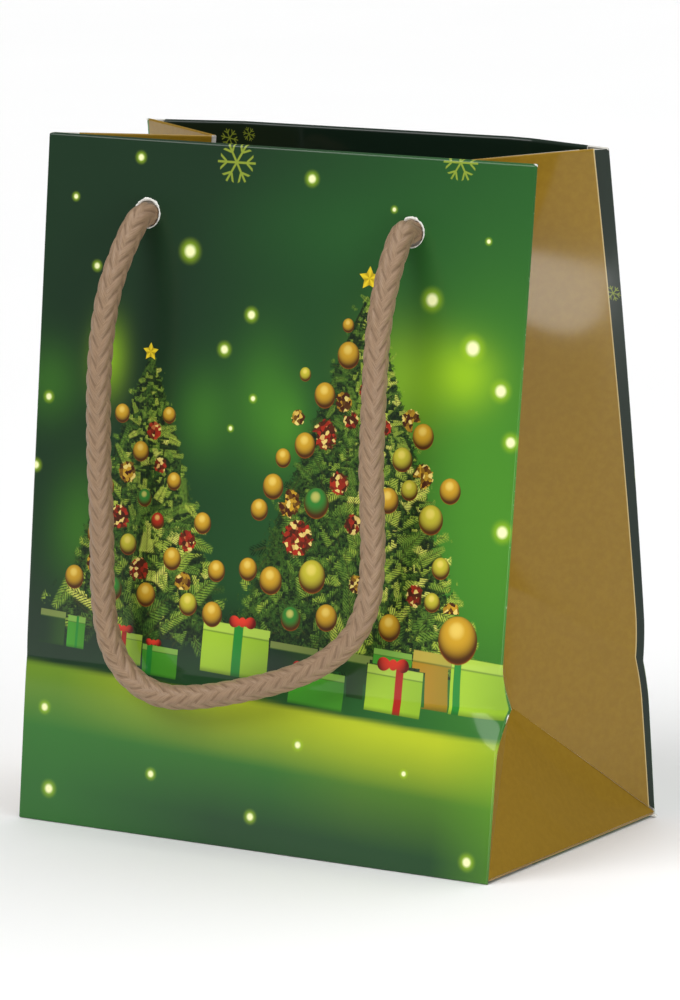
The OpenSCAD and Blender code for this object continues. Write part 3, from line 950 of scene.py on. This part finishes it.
def gusset_place(side, face, u, v):
    """A point of one gusset half's face: u from the panel's fold to the pleat, v from the foot crease up."""
    up = gusset_low + (panel_h - gusset_low) * v
    fold = stand(side * half_w, fold_r, up, face)
    share = v[..., None]
    pleat = pleat_low[side] + (pleat_high[side] - pleat_low[side]) * share
    point = fold + (pleat - fold) * u[..., None]
    belly = 0.55 * mm * np.sin(math.pi * u) * np.sin(math.pi * np.clip(v, 0, 1)) ** 0.8
    point[..., 1] += side_of[face] * belly
    return point


def gusset_off(side, face, u, v, out):
    """The same point moved off the face, outwards from the bag."""
    tiny = 1e-3
    across = gusset_place(side, face, u + tiny, v) - gusset_place(side, face, u - tiny, v)
    along = gusset_place(side, face, u, v + tiny) - gusset_place(side, face, u, v - tiny)
    normal = np.cross(across, along)
    normal /= np.linalg.norm(normal, axis=-1)[..., None]
    normal *= np.sign(normal[..., :1] * side)
    return gusset_place(side, face, u, v) + normal * out[..., None]


def gold_finish():
    """Gold ink under the same clear film. The green of the panel runs a millimetre round the fold."""
    finish = Finish("gold_laminated_paper")
    place = finish.place()
    from_fold, raw_edge, _ = finish.parts(finish.attribute("fold"))
    mottle = finish.noise(place, 700.0, 3.0, 0.6)
    clouds = finish.noise(place, 28.0, 2.0)
    colour = finish.mix(mottle.rise(0.3, 0.75), ink(140, 108, 16), ink(148, 115, 22))
    colour = finish.mix(clouds.rise(0.35, 0.75) * 0.3, colour, ink(138, 108, 24))
    bleed = (from_fold + (mottle - 0.5) * 0.12).rise(0.85, 0.75)
    colour = finish.mix(bleed, colour, ink(58, 116, 52))
    fleck = finish.noise(place, 900.0, 4.0, 0.75)
    crack = (from_fold.rise(0.45, 0.05) * 0.5 + fleck).rise(0.9, 1.02)
    cut = raw_edge.rise(0.3, 0.14)
    colour = finish.mix(crack * 0.75, colour, ink(220, 226, 206))
    colour = finish.mix(cut * 0.7, colour, ink(222, 204, 150))
    ripple = finish.noise(place, 90.0, 2.0)
    film = finish.bump(ripple + mottle * 0.03, 0.12, 1.2 * mm)
    return finish.surface(base_color=colour, roughness=0.5, specular_ior_level=0.15,
                          coat_weight=0.55 - crack * 0.4, coat_roughness=0.1, normal=film)


def face_out(piece, side):
    """Turns a gusset sheet so that its face looks out of the bag."""
    normals = np.array([polygon.normal.x for polygon in piece.data.polygons])
    if normals.mean() * side < 0:
        piece.data.flip_normals()


def bend_with(piece):
    """Bakes a gusset piece's placement into its own points."""
    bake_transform(piece)


gold_paper = gold_finish()
for side, side_name in gusset_sides.items():
    for face in ("front", "back"):
        lapped = side == 1 and face == "back"
        half = sheet_of(f"{side_name}_{face}_gusset_half", gusset_columns, gusset_rows)
        flat = points_of(half)
        v = np.interp(flat[:, 1], (0, 1 - 6 / gusset_rows, 1), (0, 1 - pleat_r / panel_h, 1))
        first = (1.5 + 1.5 * v) * mm / gusset_w if lapped else v * 0
        u = first + (1 - first) * flat[:, 0]
        out = -rolled((1 - v) * panel_h, pleat_r)
        if lapped:
            out = out + 0.16 * mm * (1 + np.cos(math.pi * u))
        put_points(half, gusset_off(side, face, u, v, out))
        from_fold = u * gusset_w / mm
        raw = (u - first) * gusset_w / mm if lapped else np.full(len(u), 9.0)
        if lapped:
            from_fold = from_fold + 9
        add_field(half, "fold", np.stack([from_fold, raw, u * 0], axis=1), "FLOAT_VECTOR", "POINT")
        face_out(half, side)
        for made in (gold_paper, paper_back):
            half.data.materials.append(made)
        thicken(half, paper_t, 1, 1)
        bend_with(half)
        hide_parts(f"{side_name}_gusset_{face}")
        hem = sheet_of(f"{side_name}_{face}_gusset_hem", 36, 40)
        flat = points_of(hem)
        u = 0.18 + 0.81 * flat[:, 0]
        down = np.interp(flat[:, 1], (0, 6 / 40, 1), (0, pleat_r * math.pi / 2, hem_h))
        angle = np.minimum(down / pleat_r, math.pi / 2)
        fall = np.maximum(down - pleat_r * math.pi / 2, 0) + pleat_r * (1 - np.cos(angle))
        run = gusset_place(side, face, u, u * 0 + 1) - gusset_place(side, face, u, u * 0)
        length = np.linalg.norm(run, axis=1)
        put_points(hem, gusset_off(side, face, u, 1 - fall / length, -pleat_r * (1 + np.sin(angle))))
        add_field(hem, "fold", np.stack([u * 0 + 9, u * 0 + 9, u * 0], axis=1), "FLOAT_VECTOR", "POINT")
        face_out(hem, -side)
        for made in (gold_paper, paper_back):
            hem.data.materials.append(made)
        thicken(hem, paper_t, 1, 1)
        bend_with(hem)
        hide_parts(f"{side_name}_gusset_{face}_hem")
    foot = sheet_of(f"{side_name}_gusset_foot_triangle", 90, 40)
    flat = points_of(foot)
    s, t = flat[:, 0], flat[:, 1]
    low_front = gusset_place(side, "front", np.zeros(1), np.zeros(1))[0]
    low_back = gusset_place(side, "back", np.zeros(1), np.zeros(1))[0]
    edge = low_front + (low_back - low_front) * s[:, None]
    point = edge + (pleat_low[side] - edge) * t[:, None]
    crease = pleat_low[side] - low_back
    crease_l = np.linalg.norm(crease)
    run = np.clip((point - low_back) @ crease / crease_l**2, 0, 1)
    from_crease = np.linalg.norm(point - low_back - run[:, None] * crease, axis=1)
    wide = 6.5 * mm * np.sin(math.pi * run) ** 0.7 + 0.3 * mm
    inner = np.clip(from_crease / wide, 0, 1)
    reach_out = np.clip(1 - (from_crease - wide) / (14 * mm), 0, 1)
    sink = -0.15 * wide * np.where(from_crease < wide, inner * (2 - inner), reach_out)
    ends = np.clip(t / 0.12, 0, 1) * np.clip(s / 0.06, 0, 1)
    point[:, 0] += side * sink * ends
    put_points(foot, point)
    bpy.ops.object.mode_set(mode="EDIT")
    bpy.ops.mesh.select_all(action="SELECT")
    bpy.ops.mesh.remove_doubles(threshold=0.02 * mm)
    bpy.ops.object.mode_set(mode="OBJECT")
    add_field(foot, "fold", np.full((len(foot.data.vertices), 3), 9.0), "FLOAT_VECTOR", "POINT")
    face_out(foot, side)
    for made in (gold_paper, paper_back):
        foot.data.materials.append(made)
    thicken(foot, paper_t, 1, 1)
    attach(foot, "base")
    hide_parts(f"{side_name}_gusset_foot")


# ---- Glue lap ----
# A strip of the rear panel's printed paper turns the right rear corner and is glued under the gusset's cut
# edge, so a dark green band of it shows there.
lap = sheet_of("rear_glue_lap", 24, gusset_rows)
flat = points_of(lap)
u = flat[:, 0] * 12 * mm / gusset_w
v = 0.004 + flat[:, 1] * 0.994
put_points(lap, np.stack([u * gusset_w / mm, v * panel_h / mm, u * 0], axis=1))
backdrop_only(lap, [(1.7, 113, 1.7)])
put_points(lap, gusset_off(1, "back", u, v, -0.25 * mm * u))
face_out(lap, 1)
for made in (printed_paper, paper_back):
    lap.data.materials.append(made)
thicken(lap, paper_t * 0.9, 1, 1)
bend_with(lap)
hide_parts("glue_lap")


# ---- Bottom ----
# The foot is folded like a satchel: gold side flaps, then the front and back flaps glued over each other,
# with a loose stiffening board of grey card on top. These carried-over pieces only need their finishes.
def flap_finish(name, light, dark):
    """The printed sheet's plain underside colour, dulled and lightly rubbed where the bag stands on it."""
    finish = Finish(name)
    clouds = finish.noise(finish.place(), 60.0, 3.0)
    rub = finish.noise(finish.place(), 500.0, 4.0, 0.8)
    colour = finish.mix(clouds.rise(0.3, 0.7), dark, light)
    colour = finish.mix(rub.rise(0.66, 0.8) * 0.35, colour, ink(206, 212, 196))
    return finish.surface(base_color=colour, roughness=0.38, coat_weight=0.6 - rub.rise(0.6, 0.8) * 0.4,
                          coat_roughness=0.16, normal=finish.bump(clouds, 0.1, 0.5 * mm))


green_flap = flap_finish("green_underside", ink(52, 108, 60), ink(44, 92, 54))
gold_flap = flap_finish("gold_underside", ink(156, 122, 42), ink(142, 110, 36))
board_card = card_finish("stiffening_board", ink(196, 190, 178), ink(170, 164, 152))
for name, made in (
    ("bottom_back_flap", green_flap), ("bottom_front_flap", green_flap), ("bottom_left_flap", gold_flap),
    ("bottom_right_flap", gold_flap), ("bottom_board", board_card),
):
    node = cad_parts[name]
    node.data.materials.clear()
    node.data.materials.append(made)


# ---- Rear corner paper edge ----
# A scrap of the folded sheet's bare white edge peeps out under the right rear corner. It is the same paper,
# bent from a small grid and glued under the foot.
bpy.ops.object.select_all(action="DESELECT")
bpy.ops.mesh.primitive_grid_add(x_subdivisions=10, y_subdivisions=6, size=1, location=(0, 0, 0))
scrap = bpy.context.object
scrap.name = "rear_corner_paper_edge"
scrap.data.name = scrap.name
flat = points_of(scrap)
share = flat[:, 0] + 0.5
across = half_w - 3.6 * mm + 4.4 * mm * share
back = half_d - 1.9 * mm + (flat[:, 1] + 0.5) * 2.2 * mm * (1 - 0.45 * share**2)
height = 0.34 * mm + 0.25 * mm * share * np.sin(share * 2.4)
put_points(scrap, np.stack([across, back, height], axis=1))
scrap.data.materials.append(paper_back)
thicken(scrap, 0.28 * mm, 0, 0)
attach(scrap, "base")


# ---- Floor and light ----
# A pale floor, soft light from above the front left, from the top and from the right, and a small bright
# panel low on the right, whose mirror image lies on the right gusset's film.
bpy.ops.mesh.primitive_plane_add(size=9, location=(0, 0, -0.02 * mm))
floor = bpy.context.object
floor.name = "pale_floor"
floor_finish = Finish("pale_studio_floor")
paper_tone = floor_finish.noise(floor_finish.place(), 3.0)
floor_colour = floor_finish.mix(paper_tone, (0.86, 0.86, 0.86, 1), (0.9, 0.9, 0.9, 1))
floor.data.materials.append(floor_finish.surface(base_color=floor_colour, roughness=0.7))
world = bpy.data.worlds.new("studio_air")
bpy.context.scene.world = world
world.use_nodes = True
world.node_tree.nodes["Background"].inputs["Color"].default_value = (1, 1, 1, 1)
world.node_tree.nodes["Background"].inputs["Strength"].default_value = 0.12


def soft_sun(name, towards, strength, spread):
    """Even light from one direction, as wide as that many degrees."""
    bpy.ops.object.light_add(type="SUN", location=towards)
    lamp = bpy.context.object
    lamp.name = name
    lamp.data.energy = strength
    lamp.data.angle = math.radians(spread)
    lamp.rotation_euler = Vector(towards).to_track_quat("Z", "Y").to_euler()


soft_sun("front_left_light", (-0.3, -0.62, 0.72), 1.8, 40)
soft_sun("top_light", (0.1, 0.35, 0.93), 1.9, 60)
soft_sun("right_light", (0.85, -0.3, 0.43), 0.75, 40)
bpy.ops.object.light_add(type="AREA", location=(0.229, -0.216, 0.059))
window = bpy.context.object
window.rotation_euler = Vector((0.179, -0.237, -0.045)).to_track_quat("Z", "Y").to_euler()
window.visible_camera = False
window.name = "low_window"
window.data.shape = "ELLIPSE"
window.data.size = 0.064
window.data.size_y = 0.13
window.data.energy = 0.14
bpy.context.scene.view_settings.view_transform = "Standard"
